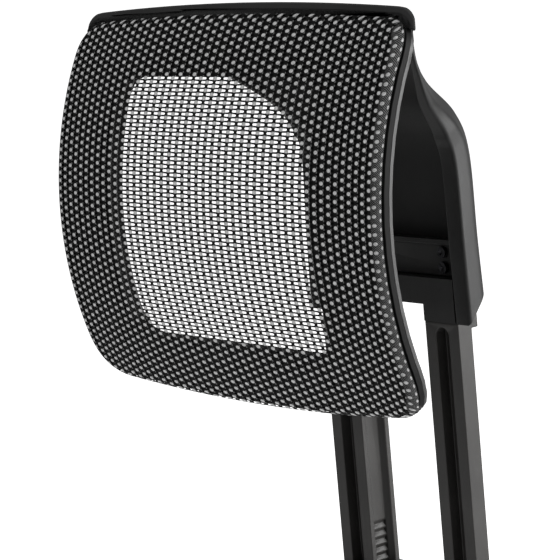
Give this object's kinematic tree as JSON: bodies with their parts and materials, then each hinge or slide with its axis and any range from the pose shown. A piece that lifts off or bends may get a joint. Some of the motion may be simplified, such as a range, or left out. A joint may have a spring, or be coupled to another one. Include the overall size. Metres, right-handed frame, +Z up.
{
  "type": "office chair headrest attachment",
  "caption": "Curved mesh headrest on a flared hood and two grooved posts that click up and down in a bolt-on receiver behind an office chair's backrest.",
  "frame": {"origin": "centre of the receiver's flat mounting face, which bolts to the back of a chair's frame", "axes": "+Z up along the posts, -Y towards the sitter, +X to the sitter's left, across the pad"},
  "size_m": [0.284, 0.1637, 0.4666],
  "materials": {
    "mesh_fabric": "open woven polyester mesh, black with pale grey yarn showing",
    "rim_plastic": "satin black moulding",
    "hood_plastic": "satin black moulding, fine grain",
    "post_plastic": "satin black, glass-filled",
    "nylon": "smooth black nylon",
    "cast_alloy": "black powder coat on a casting",
    "bright_steel": "zinc plated",
    "dark_steel": "black oxide"
  },
  "bodies": {
    "receiver": {"left_post_liner": "nylon", "right_post_liner": "nylon", "receiver_body": "cast_alloy", "detent_housing": "nylon", "left_click_spring": "bright_steel", "right_click_spring": "bright_steel", "housing_screw_1": "bright_steel", "housing_screw_2": "bright_steel", "left_stop_screw": "dark_steel", "right_stop_screw": "dark_steel", "mount_bolt_1": "dark_steel", "mount_bolt_2": "dark_steel", "mount_bolt_3": "dark_steel", "mount_bolt_4": "dark_steel"},
    "head": {"mesh_cover": "mesh_fabric", "mesh_edge_strip": "nylon", "carrier_ring": "rim_plastic", "rear_rim": "rim_plastic", "hood_shell": "hood_plastic", "post_clamp_plate": "hood_plastic", "left_post": "post_plastic", "right_post": "post_plastic", "left_post_screw_1": "dark_steel", "left_post_screw_2": "dark_steel", "right_post_screw_1": "dark_steel", "right_post_screw_2": "dark_steel", "rim_screw_1": "dark_steel", "rim_screw_2": "dark_steel", "rim_screw_3": "dark_steel", "rim_screw_4": "dark_steel", "carrier_screw_1": "dark_steel", "carrier_screw_2": "dark_steel", "carrier_screw_3": "dark_steel", "carrier_screw_4": "dark_steel", "carrier_screw_5": "dark_steel", "carrier_screw_6": "dark_steel"},
    "left_click": {"left_click_plunger": "bright_steel"},
    "right_click": {"right_click_plunger": "bright_steel"}
  },
  "joints": [
    {"name": "height_slide", "type": "slide", "parent": "receiver", "child": "head", "axis": [0, 0, 1], "range_m": [-0.07, 0.02]},
    {"name": "left_click", "type": "slide", "parent": "receiver", "child": "left_click", "axis": [-1, 0, 0], "range_m": [-0.0016, 0], "stiffness_N_per_m": 800, "springref_m": 0.002, "deforming": ["left_click_spring"]},
    {"name": "right_click", "type": "slide", "parent": "receiver", "child": "right_click", "axis": [1, 0, 0], "range_m": [-0.0016, 0], "stiffness_N_per_m": 800, "springref_m": 0.002, "deforming": ["right_click_spring"]}
  ]
}
